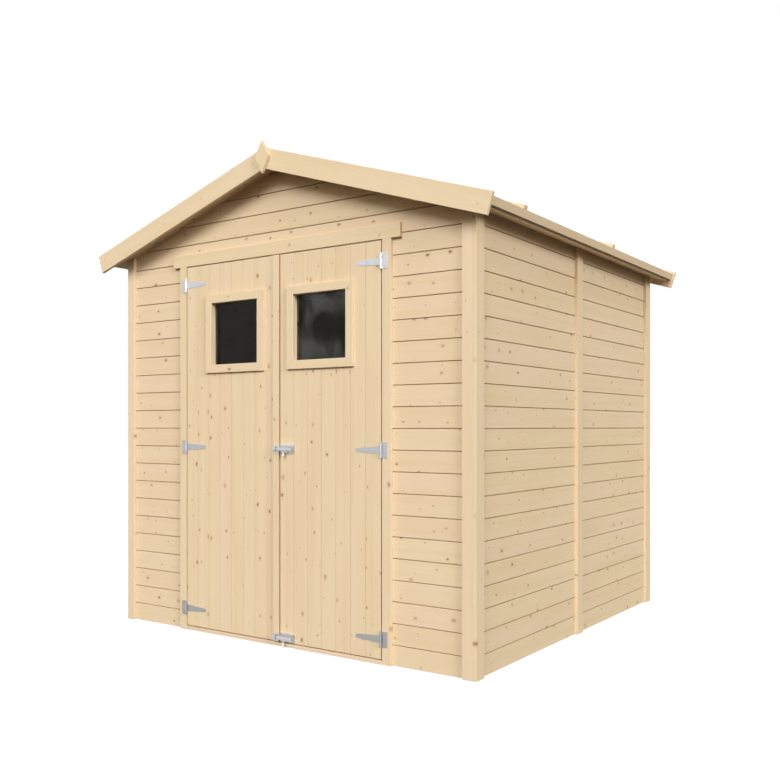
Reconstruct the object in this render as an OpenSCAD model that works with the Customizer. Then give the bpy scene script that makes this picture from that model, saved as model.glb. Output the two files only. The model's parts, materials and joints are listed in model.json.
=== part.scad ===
// Wooden garden shed: board walls on an inner frame, a pitched roof and double doors.
// Millimetres. +X is to the right along the front wall, +Y towards the back wall, +Z up.
// The origin is on the ground, in the middle of the footprint.

/* [Walls] */
// Width over the cladding of the side walls
wall_w = 1984; // [1700:1:2400]
// Depth over the cladding of the front and back walls
wall_d = 1944; // [1650:1:2400]
// Thickness of the cladding boards
board_t = 16; // [12:1:20]
// Depth of the inner frame's battens, across the wall
frame_t = 28; // [22:1:40]
// Width of the inner frame's battens, along the wall
frame_w = 45; // [35:1:60]
// How far the side walls' outer faces stand above the doorway
wall_over = 76; // [60:1:150]
// Height of the middle rails above the ground
mid_rail_z = 850; // [700:1:1000]
// How far the back wall's inner studs stand from its middle
back_stud_x = 325; // [250:1:500]

/* [Outer trims] */
// Thickness of the outer trim boards and of the door boards
trim_t = 16; // [12:1:20]
// Width of the corner boards on the front and back
corner_w = 47; // [30:1:70]
// Width of the corner boards on the sides
corner_side_w = 64; // [50:1:90]
// Width of the cover board at the middle of a wall
cover_w = 62; // [40:1:90]
// How far behind the middle of the side wall its cover board is
cover_y = 7; // [-40:1:40]

/* [Roof] */
// Slope of the roof, in degrees
pitch = 17.6; // [14:0.1:19]
// How far the eaves stand out past the side walls
eave_out = 121; // [90:1:180]
// How far the roof boards stand out past the front and back walls
verge_out = 87; // [60:1:140]
// Thickness of the roof boards
deck_t = 16; // [12:1:20]
// Depth of the rafters under the roof boards
rafter_t = 30; // [24:1:45]
// Width of the rafters between the walls
rafter_w = 45; // [35:1:60]
// Spacing of the rafters between the walls
rafter_step = 486; // [400:1:550]
// Length down the slope of each half of the ridge board
ridge_board = 60; // [45:1:90]
// Width of the board under each eave
eave_board = 150; // [140:1:170]
// Thickness of the eave boards' outer fascia
fascia_t = 16; // [12:1:20]
// Height of that fascia
fascia_h = 33; // [26:1:40]
// Width of the barge boards
barge_h = 88; // [80:1:110]
// How far the barge boards stand above the roof boards
barge_up = 12; // [8:1:20]
// How far the barge boards run past the fascia, down the slope
barge_past = 10; // [5:1:20]
// Half the width of the diamond at the ridge
finial_half = 40; // [30:1:60]
// Height of the diamond at the ridge
finial_h = 141; // [120:1:180]
// How far the diamond's middle is under the ridge
finial_drop = 32; // [20:1:50]
// Width of the battens on top of the roof
felt_w = 28; // [20:1:40]
// Thickness of the battens on top of the roof
felt_t = 16; // [10:1:20]
// From the roof boards' front edge to the middle of the front batten
felt_in = 276; // [200:1:400]
// From the front batten to the back one
felt_step = 939; // [700:1:1100]
// How far each slope's battens stop short of the ridge
felt_short = 12; // [8:1:20]

/* [Doorway] */
// Middle of the doorway, to the right of the middle of the wall
door_x = -6; // [-30:1:30]
// Clear width between the jamb boards
door_w = 1149; // [1000:1:1250]
// Height of the underside of the lintel
door_z = 1738; // [1600:1:1760]
// Width of the jamb boards
jamb_w = 44; // [30:1:60]
// Height of the lintel board
lintel_h = 58; // [40:1:80]
// How far the lintel runs past the jamb boards
lintel_past = 46; // [20:1:80]
// Height of the sill
sill_h = 17; // [12:1:25]
// Running gap round the doors
door_gap = 5; // [4:0.5:6]
// How far right of the doorway's middle the doors meet
meet_x = 21; // [0:1:30]

/* [Doors] */
// Width of the strip on the left door, where the doors meet
strip_w = 36; // [24:1:45]
// Thickness of that strip
strip_t = 8; // [6:1:16]
// How far the strip reaches past the left door's edge
strip_over = 3; // [0:0.5:3]
// Width of the ledges across the back of a door
ledge_w = 70; // [50:1:90]
// Thickness of the ledges across the back of a door
ledge_t = 26; // [18:1:28]
// How far a ledge stays from the edges of its door
ledge_in = 24; // [18:1:40]
// Width and height of a window opening
window = 288; // [240:1:320]
// From the top of a door down to its window opening
window_drop = 184; // [150:1:250]
// From the doorway's middle to the near edge of a window
window_in = 107; // [90:1:130]
// Width of the window's outer frame
window_trim_w = 38; // [25:1:45]
// Thickness of the window's outer frame
window_trim_t = 12; // [8:1:18]
// Thickness of the pane
pane_t = 3; // [2:0.5:4]
// How far the pane reaches behind the door boards, past the opening
pane_lap = 12; // [8:1:16]
// Width of the beads round the pane, at the back
bead_w = 30; // [25:1:40]
// Thickness of the beads, with the pane let into them
bead_t = 15; // [10:1:20]

/* [Hinges] */
// From the bottom of a door to the middle of its lower hinge
hinge_low = 82; // [60:1:120]
// From the top of a door to the middle of its upper hinge
hinge_high = 85; // [60:1:90]
// Length of a hinge strap from its pin
strap_len = 130; // [90:1:150]
// Height of a strap at its pin
strap_root = 33; // [28:1:40]
// Height of a strap at its round end
strap_end = 17; // [12:1:22]
// Height of the plate on the jamb
plate_h = 65; // [55:1:80]
// Width of the plate on the jamb, from the pin
plate_w = 30; // [24:1:38]
// Thickness of the hinge metal
hinge_t = 2; // [1.5:0.5:3]
// Radius of the knuckles
knuckle_r = 5; // [4:0.5:6]
// Radius of the hinge pin
pin_r = 2.5; // [2:0.25:3]
// How far the knuckles stand in front of the door boards
knuckle_out = 0.7; // [0.4:0.1:1.5]

/* [Bolts] */
// From the bottom of a door to the lower bolt
bolt_low = 21; // [20:1:60]
// From the lower bolt to the upper one
bolt_step = 831; // [700:1:900]
// Radius of the bolt
bolt_r = 6; // [4:0.5:7]
// Length of a bolt's housing
housing_len = 84; // [70:1:100]
// Height of the housing's plate
housing_h = 37; // [30:1:42]
// From the right door's free edge to the housing
housing_in = 1; // [0:1:10]
// From the housing's left end to its slot
slot_in = 5; // [4:1:12]
// Metal round a bolt in its housing and its keeper
guide_wall = 4; // [2:0.5:5]
// How far a bolt is from the meeting strip
bolt_out = 4; // [3.5:0.5:6]
// Radius of a bolt's handle
handle_r = 3.5; // [2.5:0.5:4]
// Radius of the knob at the end of the handle
knob_r = 5; // [4.5:0.5:6]
// How far the handle hangs under the bolt
handle_len = 30; // [22:1:32]
// Length of the keeper on the left door
keeper_len = 24; // [18:1:30]
// Width of the flat ears beside the keeper's guide
keeper_ear = 4; // [3:1:6]
// From the keeper to the edge of the meeting strip
keeper_in = 2; // [1:1:6]
// How far a shut bolt's tip stays inside the keeper
tip_in = 8; // [1:1:10]

/* [Clearances] */
// Room between pieces that meet on the slope of the roof
seat_gap = 0.05; // [0.05:0.05:0.2]
// Saw cut between a gable's two sloping rails
ridge_cut = 1; // [0.5:0.5:4]
// Play between the pane's edge and its beads
pane_gap = 0.3; // [0.2:0.1:1]
// Play between the pin and the strap's knuckle
pin_gap = 0.08; // [0.05:0.01:0.2]
// Play between one knuckle and the next
knuckle_gap = 0.5; // [0.3:0.1:1]
// Play round a bolt in its housing and its keeper
bolt_gap = 0.6; // [0.4:0.1:1]
// From an open bolt's tip to its keeper
tip_gap = 5; // [4:1:8]
// Room beside the handle at both ends of its travel
handle_gap = 3; // [2:1:6]
// Play beside the handle, across its slot
slot_play = 1; // [0.5:0.5:1.5]

/* [Hidden] */
$fn = 48;

wood = "burlywood";
pale_wood = "wheat";
metal = "silver";

left = -1;
right = 1;

cut = 1;                             // how far a cut runs past the face it opens
half_w = wall_w / 2;
half_d = wall_d / 2;
inner_w = half_w - board_t;          // inside of the side cladding
inner_d = half_d - board_t;          // inside of the front and back cladding
frame_x = inner_w - frame_t;         // inside of the side walls' frame
frame_y = inner_d - frame_t;         // inside of the front and back frames
trim_y = half_d + trim_t;            // face of the front trims and of the doors
wall_h = door_z + wall_over;         // top of the side walls' outer faces
under_n = -(deck_t + rafter_t);      // underside of the roof, measured square to it
seat_n = under_n - seat_gap;         // top of what carries the roof
ridge_z = wall_h + half_w * tan(pitch) - under_n / cos(pitch);   // top of the roof boards
roof_half_d = half_d + verge_out;
eave_s = (half_w + eave_out) / cos(pitch);   // eave, measured down the slope from the ridge
deck_end_s = eave_s - fascia_t;
eave_board_s = deck_end_s - eave_board;

// Height of a plane square distance n above the roof boards, at x
function roof_z(x, n) = ridge_z - abs(x) * tan(pitch) + n / cos(pitch);
// Point [x, z] at s down the right slope and n square above it
function slope(s, n) = [s * cos(pitch) + n * sin(pitch), ridge_z - s * sin(pitch) + n * cos(pitch)];
// Distance from the middle at which the plane n comes down to height z
function roof_x(z, n) = (ridge_z + n / cos(pitch) - z) / tan(pitch);

// A box from one corner to the other
module block(low, high) {
    translate(low) cube(high - low);
}

// An outline in X and Z, made a solid from y0 to y1
module along_y(y0, y1) {
    translate([0, y1, 0]) rotate([90, 0, 0]) linear_extrude(y1 - y0) children();
}

// The same piece on the left or the right of the shed
module on_side(side) {
    if (side == left) mirror([1, 0, 0]) children();
    else children();
}

// The same outline in X and Z, on the left or the right
module outline_on_side(side) {
    if (side == left) mirror([1, 0]) children();
    else children();
}

// The same piece at the front and at the back of the shed
module on_both_ends() {
    children();
    mirror([0, 1, 0]) children();
}

// ---------------------------------------------------------------- walls

door_l = door_x - door_w / 2;
door_r = door_x + door_w / 2;
header_top = door_z + frame_w;

module front_wall_panel(x0, x1) {
    color(pale_wood) block([x0, -half_d, 0], [x1, -inner_d, door_z]);
}

// Gable outline from a level base up to the underside of the roof
module gable_outline(base_z) {
    polygon([[-inner_w, base_z], [inner_w, base_z], [inner_w, roof_z(inner_w, seat_n)],
             [0, roof_z(0, seat_n)], [-inner_w, roof_z(inner_w, seat_n)]]);
}

module front_gable() {
    color(pale_wood) along_y(-half_d, -inner_d) gable_outline(door_z);
}

module back_wall() {
    color(pale_wood) along_y(inner_d, half_d) gable_outline(0);
}

// A slice of the side wall between two distances from the middle, cut to the slope of the roof
module side_slice(x0, x1, base_z) {
    polygon([[x0, base_z], [x1, base_z], [x1, roof_z(x1, seat_n)], [x0, roof_z(x0, seat_n)]]);
}

module side_wall(side) {
    color(pale_wood) on_side(side) along_y(-half_d, half_d) side_slice(inner_w, half_w, 0);
}

// ---------------------------------------------------------------- inner frame

// Half of a gable's sloping rail, standing on the level one
module gable_rail_half() {
    low_x = roof_x(header_top, seat_n - frame_w);
    polygon([[ridge_cut / 2, roof_z(ridge_cut / 2, seat_n)], [inner_w, roof_z(inner_w, seat_n)],
             [inner_w, header_top], [low_x, header_top],
             [ridge_cut / 2, roof_z(ridge_cut / 2, seat_n - frame_w)]]);
}

module gable_wall_rails() {
    color(wood) {
        on_both_ends() block([-inner_w, -inner_d, door_z], [inner_w, -frame_y, header_top]);
        block([-inner_w, -inner_d, 0], [door_l, -frame_y, frame_w]);
        block([door_r, -inner_d, 0], [inner_w, -frame_y, frame_w]);
        block([-inner_w, frame_y, 0], [inner_w, inner_d, frame_w]);
    }
}

module gable_slope_rails() {
    color(wood)
        for (side = [left, right])
            on_both_ends() on_side(side) along_y(-inner_d, -frame_y) gable_rail_half();
}

module gable_wall_studs() {
    color(wood) {
        for (x = [-inner_w, door_l - frame_w, door_r, inner_w - frame_w])
            block([x, -inner_d, frame_w], [x + frame_w, -frame_y, door_z]);
        for (x = [-inner_w, -back_stud_x, back_stud_x - frame_w, inner_w - frame_w])
            block([x, frame_y, frame_w], [x + frame_w, inner_d, door_z]);
        on_both_ends()
            along_y(-inner_d, -frame_y)
                polygon([[-frame_w / 2, header_top], [frame_w / 2, header_top],
                         [frame_w / 2, roof_z(frame_w / 2, seat_n - frame_w)],
                         [0, roof_z(0, seat_n - frame_w)],
                         [-frame_w / 2, roof_z(frame_w / 2, seat_n - frame_w)]]);
    }
}

side_rail_z = roof_z(inner_w, seat_n) - frame_w;   // lower edge of the side walls' top rail
side_stud_y = [-frame_y, cover_y - frame_w / 2, frame_y - frame_w];

module side_wall_studs() {
    color(wood)
        for (side = [left, right], y = side_stud_y)
            on_side(side) block([frame_x, y, frame_w], [inner_w, y + frame_w, side_rail_z]);
}

module side_wall_rails() {
    color(wood)
        for (side = [left, right]) on_side(side) {
            block([frame_x, -frame_y, 0], [inner_w, frame_y, frame_w]);
            along_y(-frame_y, frame_y) side_slice(frame_x, inner_w, side_rail_z);
            for (bay = [0, 1])
                block([frame_x, side_stud_y[bay] + frame_w, mid_rail_z],
                      [inner_w, side_stud_y[bay + 1], mid_rail_z + frame_w]);
        }
}

// ---------------------------------------------------------------- outer trims

trim_x = half_w + trim_t;            // face of the side walls' boards

// The left corner board laps the edge of the side wall's board; the right one is lapped by it
module front_corner_boards() {
    color(pale_wood) {
        on_side(left) along_y(-trim_y, -half_d) side_slice(trim_x - corner_w, trim_x, 0);
        on_side(right) along_y(-trim_y, -half_d) side_slice(half_w - corner_w, half_w, 0);
    }
}

module back_wall_boards() {
    color(pale_wood) {
        for (side = [left, right])
            on_side(side) along_y(half_d, trim_y) side_slice(half_w - corner_w, half_w, 0);
        along_y(half_d, trim_y)
            polygon([[-cover_w / 2, 0], [cover_w / 2, 0], [cover_w / 2, roof_z(cover_w / 2, seat_n)],
                     [0, roof_z(0, seat_n)], [-cover_w / 2, roof_z(cover_w / 2, seat_n)]]);
    }
}

module side_wall_boards(side) {
    front = side == left ? -half_d : -trim_y;
    color(pale_wood) on_side(side) {
        along_y(front, corner_side_w - trim_y) side_slice(half_w, trim_x, 0);
        along_y(cover_y - cover_w / 2, cover_y + cover_w / 2) side_slice(half_w, trim_x, 0);
        along_y(trim_y - corner_side_w, trim_y) side_slice(half_w, trim_x, 0);
    }
}

// ---------------------------------------------------------------- doorway

module door_jambs() {
    color(pale_wood) {
        block([door_l - jamb_w, -trim_y, 0], [door_l, -half_d, door_z]);
        block([door_r, -trim_y, 0], [door_r + jamb_w, -half_d, door_z]);
    }
}

module door_lintel() {
    reach = jamb_w + lintel_past;
    color(pale_wood)
        block([door_l - reach, -trim_y, door_z], [door_r + reach, -half_d, door_z + lintel_h]);
}

module door_sill() {
    color(wood) block([door_l, -trim_y, 0], [door_r, -frame_y, sill_h]);
}

// ---------------------------------------------------------------- roof

// One slope's layer between two distances down it and two heights square to it.
// With s0 = 0 it is cut upright at the ridge.
module slope_layer(s0, s1, n0, n1) {
    top_in = s0 == 0 ? [0, roof_z(0, n1)] : slope(s0, n1);
    low_in = s0 == 0 ? [0, roof_z(0, n0)] : slope(s0, n0);
    polygon([low_in, slope(s1, n0), slope(s1, n1), top_in]);
}

module roof_deck(side) {
    color(wood) on_side(side)
        along_y(-roof_half_d, roof_half_d) slope_layer(0, deck_end_s - seat_gap, -deck_t, 0);
}

rafter_top_n = -deck_t - seat_gap;
verge_rafter_w = roof_half_d - frame_y;
rafter_y = [-rafter_step, 0, rafter_step];

module roof_rafters() {
    color(wood)
        for (side = [left, right]) on_side(side) {
            on_both_ends()
                along_y(-roof_half_d, verge_rafter_w - roof_half_d)
                    slope_layer(ridge_board + seat_gap, eave_board_s - seat_gap, under_n, rafter_top_n);
            for (y = rafter_y)
                along_y(y - rafter_w / 2, y + rafter_w / 2)
                    slope_layer(ridge_board + seat_gap, eave_board_s - seat_gap, under_n, rafter_top_n);
        }
}

module roof_purlins() {
    color(wood) {
        for (side = [left, right])
            on_side(side) along_y(-roof_half_d, roof_half_d)
                slope_layer(eave_board_s, deck_end_s - seat_gap, under_n, rafter_top_n);
        along_y(-roof_half_d, roof_half_d)
            for (side = [left, right])
                outline_on_side(side) slope_layer(0, ridge_board, under_n, rafter_top_n);
    }
}

felt_y = felt_in - roof_half_d;      // middle of the front batten

module roof_battens() {
    color(pale_wood)
        for (side = [left, right], y = [felt_y, felt_y + felt_step])
            on_side(side) along_y(y - felt_w / 2, y + felt_w / 2)
                slope_layer(felt_short, eave_s, seat_gap, felt_t);
}

module fascia(side) {
    color(pale_wood) on_side(side)
        along_y(-roof_half_d, roof_half_d) slope_layer(deck_end_s, eave_s, -fascia_h, 0);
}

module barge(side, y) {
    color(pale_wood) on_side(side)
        along_y(y, y + trim_t) slope_layer(0, eave_s + barge_past, barge_up - barge_h, barge_up);
}

finial_mid_z = ridge_z - finial_drop;

module finial(y) {
    color(pale_wood)
        along_y(y, y + trim_t)
            polygon([[0, finial_mid_z - finial_h / 2], [finial_half, finial_mid_z],
                     [0, finial_mid_z + finial_h / 2], [-finial_half, finial_mid_z]]);
}

// ---------------------------------------------------------------- doors

door_low = sill_h + door_gap;
door_high = door_z - door_gap;
leaf_back = half_d;                        // back of the door boards
window_z = door_high - window_drop - window;
low_hinge = door_low + hinge_low;
top_hinge = door_high - hinge_high;
hinge_z = [low_hinge, (low_hinge + top_hinge) / 2, top_hinge];
meet_l = door_x + meet_x - door_gap / 2;   // free edge of the left door
meet_r = door_x + meet_x + door_gap / 2;   // free edge of the right door
leaf_l = door_l + door_gap;                // hinged edge of the left door
leaf_r = door_r - door_gap;                // hinged edge of the right door

// Low and high x of the window opening on one side
function window_span(side) = side == left
    ? [door_x - window_in - window, door_x - window_in]
    : [door_x + window_in, door_x + window_in + window];

module door_leaf(x0, x1, side) {
    span = window_span(side);
    color(pale_wood) difference() {
        block([x0, -trim_y, door_low], [x1, -leaf_back, door_high]);
        block([span[0], -trim_y - cut, window_z], [span[1], cut - leaf_back, window_z + window]);
    }
}

// A flat square ring round a window opening, from y0 to y1
module window_ring(side, w, y0, y1) {
    span = window_span(side);
    difference() {
        block([span[0] - w, y0, window_z - w], [span[1] + w, y1, window_z + window + w]);
        block([span[0], y0 - cut, window_z], [span[1], y1 + cut, window_z + window]);
    }
}

module pane_block(side, grow) {
    span = window_span(side);
    lap = pane_lap + grow;
    block([span[0] - lap, -leaf_back - grow, window_z - lap],
          [span[1] + lap, pane_t - leaf_back, window_z + window + lap]);
}

module window_frame(side) {
    color(pale_wood) window_ring(side, window_trim_w, -trim_y - window_trim_t, -trim_y);
}

module pane(side) {
    color("dimgray") pane_block(side, 0);
}

// The ledges are behind the hinges, where their screws go in
module inner_frame(x0, x1, side) {
    color(wood) {
        for (z = hinge_z)
            block([x0 + ledge_in, -leaf_back, z - ledge_w / 2],
                  [x1 - ledge_in, ledge_t - leaf_back, z + ledge_w / 2]);
        difference() {
            window_ring(side, bead_w, -leaf_back, bead_t - leaf_back);
            pane_block(side, pane_gap);
        }
    }
}

strip_end = meet_l + strip_over;           // free edge of the meeting strip
strip_face = -trim_y - strip_t;

module meeting_strip() {
    color(pale_wood)
        block([strip_end - strip_w, strip_face, door_low], [strip_end, -trim_y, door_high]);
}

// ---------------------------------------------------------------- hinges

hinge_y = -trim_y - knuckle_r - knuckle_out;   // pin axis, just in front of the door's face
hinge_x = [door_l + door_gap / 2, door_r - door_gap / 2];

// A strap seen from the front, running in +X from the pin
module strap_outline() {
    r = strap_end / 2;
    union() {
        polygon([[0, -strap_root / 2], [strap_len - r, -r], [strap_len - r, r], [0, strap_root / 2]]);
        translate([strap_len - r, 0]) circle(r);
    }
}

module hinge_strap(z) {
    translate([0, 0, z]) difference() {
        union() {
            translate([0, -trim_y, 0]) rotate([90, 0, 0]) linear_extrude(hinge_t) strap_outline();
            translate([0, hinge_y, -strap_root / 2]) cylinder(h = strap_root, r = knuckle_r);
            block([0, hinge_y, -strap_root / 2], [knuckle_r, -trim_y, strap_root / 2]);
        }
        translate([0, hinge_y, -strap_root]) cylinder(h = 2 * strap_root, r = pin_r + pin_gap);
    }
}

// The strap of the right door runs to the left of its pin
module hinge_straps(side) {
    x = side == left ? hinge_x[0] : hinge_x[1];
    color(metal) translate([x, 0, 0]) on_side(-side) for (z = hinge_z) hinge_strap(z);
}

// Plate on the jamb, its two knuckles and the pin through them, running in -X from the pin
module hinge_plate(z) {
    barrel = (plate_h - strap_root) / 2 - knuckle_gap;
    translate([0, 0, z]) {
        difference() {
            block([-plate_w, -trim_y - hinge_t, -plate_h / 2], [0, -trim_y, plate_h / 2]);
            block([-knuckle_r - knuckle_gap, -trim_y - hinge_t - cut, -strap_root / 2 - knuckle_gap],
                  [cut, cut - trim_y, strap_root / 2 + knuckle_gap]);
        }
        for (low = [-plate_h / 2, plate_h / 2 - barrel]) {
            translate([0, hinge_y, low]) cylinder(h = barrel, r = knuckle_r);
            block([-knuckle_r, hinge_y, low], [0, -trim_y, low + barrel]);
        }
        translate([0, hinge_y, -plate_h / 2]) cylinder(h = plate_h, r = pin_r);
    }
}

module hinge_plates() {
    color(metal)
        for (side = [left, right], z = hinge_z)
            translate([side == left ? hinge_x[0] : hinge_x[1], 0, 0]) on_side(-side) hinge_plate(z);
}

// ---------------------------------------------------------------- bolts

bolt_z = [door_low + bolt_low, door_low + bolt_low + bolt_step];
bolt_y = strip_face - bolt_r - bolt_out;   // axis of the bolts, in front of the meeting strip
housing_x = meet_r + housing_in;           // left end of a housing
housing_end = housing_x + housing_len;
keeper_x = strip_end - keeper_in - keeper_len;
tip_x = keeper_x + keeper_len + tip_gap;
bolt_travel = tip_gap + keeper_len - tip_in;   // how far a bolt slides to the left
slot_x = housing_x + slot_in;
slot_end = slot_x + 2 * (handle_r + handle_gap) + bolt_travel;
handle_x = slot_end - handle_r - handle_gap;

// A sleeve round the bolt: a block from the door to the bolt's axis, with a round front
module sleeve(x0, x1, back_y, z) {
    r = bolt_r + guide_wall;
    difference() {
        union() {
            block([x0, bolt_y, z - r], [x1, back_y, z + r]);
            translate([x0, bolt_y, z]) rotate([0, 90, 0]) cylinder(h = x1 - x0, r = r);
        }
        translate([x0 - cut, bolt_y, z]) rotate([0, 90, 0])
            cylinder(h = x1 - x0 + 2 * cut, r = bolt_r + bolt_gap);
    }
}

// The handle hangs through a slot under the housing's sleeve
module bolt_housings() {
    slot_half = handle_r + slot_play;
    color(metal)
        for (z = bolt_z) {
            block([housing_x, -trim_y - hinge_t, z - housing_h / 2],
                  [housing_end, -trim_y, z + housing_h / 2]);
            difference() {
                sleeve(housing_x, housing_end, -trim_y - hinge_t, z);
                block([slot_x, bolt_y - slot_half, z - housing_h / 2],
                      [slot_end, bolt_y + slot_half, z]);
            }
        }
}

module keepers() {
    color(metal)
        for (z = bolt_z) {
            block([keeper_x, strip_face - hinge_t, z - housing_h / 2],
                  [keeper_x + keeper_len, strip_face, z + housing_h / 2]);
            sleeve(keeper_x + keeper_ear, keeper_x + keeper_len - keeper_ear, strip_face - hinge_t, z);
        }
}

module bolt(z) {
    color(metal) {
        translate([tip_x, bolt_y, z]) rotate([0, 90, 0]) cylinder(h = housing_end - tip_x, r = bolt_r);
        translate([handle_x, bolt_y, z - handle_len]) cylinder(h = handle_len, r = handle_r);
        translate([handle_x, bolt_y, z - handle_len]) sphere(knob_r);
    }
}

// ---------------------------------------------------------------- nodes

front_wall_panel(-inner_w, door_l);  // front_wall_left
front_wall_panel(door_r, inner_w);  // front_wall_right
front_gable();
side_wall(left);  // left_wall
side_wall(right);  // right_wall
back_wall();
gable_wall_studs();
gable_wall_rails();
gable_slope_rails();
side_wall_studs();
side_wall_rails();
front_corner_boards();
back_wall_boards();
side_wall_boards(left);  // left_wall_boards
side_wall_boards(right);  // right_wall_boards
door_jambs();
door_lintel();
door_sill();
hinge_plates();
roof_deck(left);  // roof_deck_left
roof_deck(right);  // roof_deck_right
roof_rafters();
roof_purlins();
roof_battens();
fascia(left);  // fascia_left
fascia(right);  // fascia_right
barge(left, -roof_half_d - trim_t);  // barge_front_left
barge(right, -roof_half_d - trim_t);  // barge_front_right
barge(left, roof_half_d);  // barge_back_left
barge(right, roof_half_d);  // barge_back_right
finial(-roof_half_d - 2 * trim_t);  // finial_front
finial(roof_half_d + trim_t);  // finial_back
door_leaf(leaf_l, meet_l, left);  // door_left_leaf
inner_frame(leaf_l, meet_l, left);  // door_left_inner_frame
window_frame(left);  // door_left_window_frame
pane(left);  // door_left_pane
hinge_straps(left);  // door_left_hinge_straps
meeting_strip();  // door_left_meeting_strip
keepers();  // door_left_keepers
door_leaf(meet_r, leaf_r, right);  // door_right_leaf
inner_frame(meet_r, leaf_r, right);  // door_right_inner_frame
window_frame(right);  // door_right_window_frame
pane(right);  // door_right_pane
hinge_straps(right);  // door_right_hinge_straps
bolt_housings();  // door_right_bolt_housings
bolt(bolt_z[1]);  // bolt_upper
bolt(bolt_z[0]);  // bolt_lower
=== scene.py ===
# %% [markdown]
# # A wooden garden shed
#
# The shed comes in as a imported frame: walls, roof, doors, hinges and bolts as plain solids at their
# real size. This lesson gives each of them its real look. Walls become separate matchboards, trims
# and battens get eased edges and a grain of their own, and the hinges get zinc and screws.

# %% Load the frame
import json
import math
import random

import bpy
import numpy as np
from mathutils import Matrix, Vector

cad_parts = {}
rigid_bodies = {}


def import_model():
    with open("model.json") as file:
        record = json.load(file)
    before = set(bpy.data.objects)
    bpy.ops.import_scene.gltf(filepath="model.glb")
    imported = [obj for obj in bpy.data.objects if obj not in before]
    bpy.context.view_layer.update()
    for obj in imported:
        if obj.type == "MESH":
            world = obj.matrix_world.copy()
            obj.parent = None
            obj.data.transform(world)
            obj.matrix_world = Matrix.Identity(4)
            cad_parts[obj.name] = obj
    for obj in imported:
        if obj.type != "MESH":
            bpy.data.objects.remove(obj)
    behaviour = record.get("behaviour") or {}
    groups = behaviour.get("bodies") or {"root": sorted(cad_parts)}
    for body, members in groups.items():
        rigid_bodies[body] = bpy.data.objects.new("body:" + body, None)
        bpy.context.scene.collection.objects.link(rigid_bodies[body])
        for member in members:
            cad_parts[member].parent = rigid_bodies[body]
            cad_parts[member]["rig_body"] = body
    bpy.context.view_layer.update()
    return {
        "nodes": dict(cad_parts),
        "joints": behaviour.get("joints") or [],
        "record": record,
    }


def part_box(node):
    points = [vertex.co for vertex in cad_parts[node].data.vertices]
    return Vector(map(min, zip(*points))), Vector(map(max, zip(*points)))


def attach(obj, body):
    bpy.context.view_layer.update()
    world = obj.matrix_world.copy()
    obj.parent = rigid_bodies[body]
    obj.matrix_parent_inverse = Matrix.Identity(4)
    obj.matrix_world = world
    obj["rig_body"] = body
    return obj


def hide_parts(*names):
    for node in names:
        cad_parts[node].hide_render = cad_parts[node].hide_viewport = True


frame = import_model()

# %% [markdown]
# ## Small helpers
#
# Operators act on whatever is selected, so each step first picks exactly one object, and then the
# faces or edges that it works on, by where they are or which way they face.

# %% Pick objects, faces and edges
X, Y, Z = Vector((1, 0, 0)), Vector((0, 1, 0)), Vector((0, 0, 1))


def only(*objects):
    bpy.ops.object.select_all(action="DESELECT")
    for obj in objects:
        obj.select_set(True)
    bpy.context.view_layer.objects.active = objects[0]


def edit_with(obj, select_mode, chosen):
    """Edit mode with the chosen vertices, edges or faces selected, and nothing else."""
    mesh = obj.data
    for group in (mesh.vertices, mesh.edges, mesh.polygons):
        group.foreach_set("select", [False] * len(group))
    bpy.context.tool_settings.mesh_select_mode = select_mode
    for element in chosen:
        element.select = True
    only(obj)
    bpy.ops.object.mode_set(mode="EDIT")


def edit_faces(obj, test):
    """Edit mode with the faces whose middle and normal pass the test."""
    chosen = [face for face in obj.data.polygons if test(face.center, face.normal)]
    edit_with(obj, (False, False, True), chosen)


def edit_all(obj):
    edit_faces(obj, lambda middle, normal: True)


def back_to_object():
    bpy.ops.object.mode_set(mode="OBJECT")


def apply_modifier(obj, kind, **values):
    """Adds a modifier of this kind with these settings, and applies it at once."""
    only(obj)
    modifier = obj.modifiers.new(kind.title(), kind)
    for name, value in values.items():
        setattr(modifier, name, value)
    bpy.ops.object.modifier_apply(modifier=modifier.name)


def smooth(obj, degrees):
    """Smooth shading, with every edge sharper than this left crisp."""
    only(obj)
    bpy.ops.object.shade_smooth_by_angle(angle=math.radians(degrees))


def join(name, parts):
    """Several objects made into one piece with this name."""
    only(*parts)
    if len(parts) > 1:
        bpy.ops.object.join()
    piece = bpy.context.view_layer.objects.active
    piece.name = name
    piece.data.name = name
    return piece


def add_object(name, mesh):
    """A new object with this mesh, at the origin."""
    obj = bpy.data.objects.new(name, mesh)
    bpy.context.scene.collection.objects.link(obj)
    return obj


def give_material(obj, material):
    """Makes this the object's only material."""
    obj.data.materials.clear()
    obj.data.materials.append(material)


def cut(obj, point, normal):
    """Saws off what lies beyond a plane, and closes the cut."""
    edit_all(obj)
    bpy.ops.mesh.bisect(plane_co=point, plane_no=normal, use_fill=True, clear_outer=True)
    back_to_object()


# %% [markdown]
# ## Where the roof lies
#
# Many boards end at the underside of the roof. Its slope is read from two solids: the point of the
# gable is the underside at the middle, and a side wall's top is the underside over the wall.

# %% Measure the roof
gable_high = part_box("front_gable")[1]
side_low, side_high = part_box("right_wall")
roof_slope = math.atan2(gable_high.z - side_high.z, side_low.x)
ridge_under = Vector((0, 0, gable_high.z))


def roof_normal(side):
    """Square to the slope on the left (-1) or right (1) side, and upwards."""
    return Vector((side * math.sin(roof_slope), 0, math.cos(roof_slope)))


def down_slope(side):
    """From the ridge down to the eave on one side."""
    return Vector((side * math.cos(roof_slope), 0, -math.sin(roof_slope)))


print("roof slope", round(math.degrees(roof_slope), 2), "degrees")

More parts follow.
